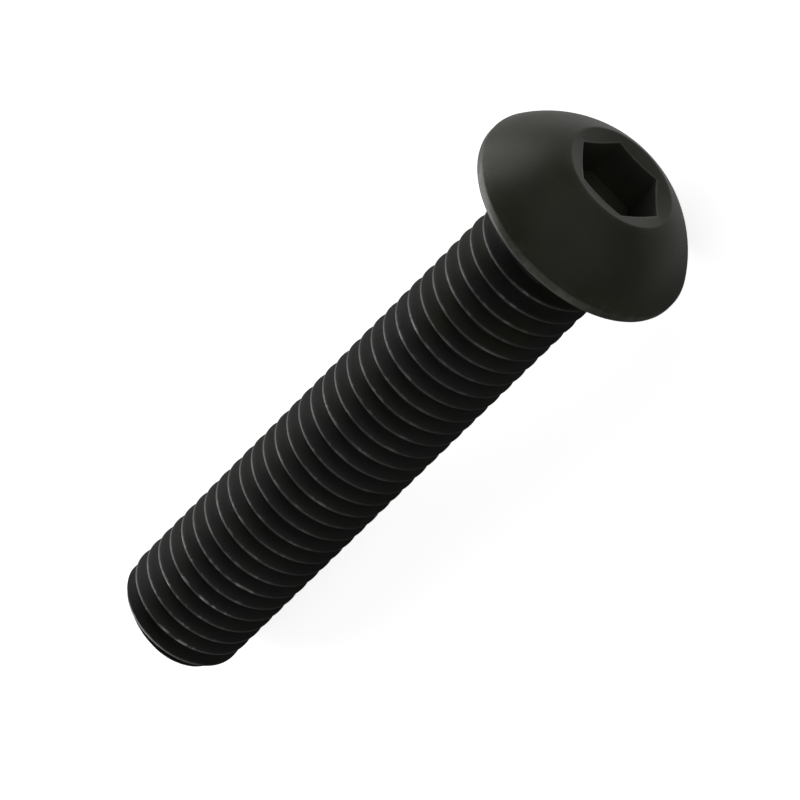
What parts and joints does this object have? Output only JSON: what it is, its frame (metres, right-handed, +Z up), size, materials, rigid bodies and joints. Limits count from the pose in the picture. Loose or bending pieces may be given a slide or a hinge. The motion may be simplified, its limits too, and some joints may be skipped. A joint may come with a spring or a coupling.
{
  "type": "button head socket screw",
  "caption": "Fully threaded metric machine screw with a low domed head and a hexagon socket, black oxide steel, lying on its side.",
  "frame": {"origin": "on the surface that the screw lies on, under the middle of its length", "axes": "+X towards the head, along the screw as seen from above; +Z up; the screw's own axis leans up towards the head by 4.3 degrees in the XZ plane"},
  "size_m": [0.0556, 0.0172, 0.0172],
  "materials": {
    "black_oxide_steel": "black oxide over steel, satin on the head and duller in the thread, rubbed brighter along the thread crests"
  },
  "bodies": {
    "root": {"screw": "black_oxide_steel"}
  },
  "joints": []
}
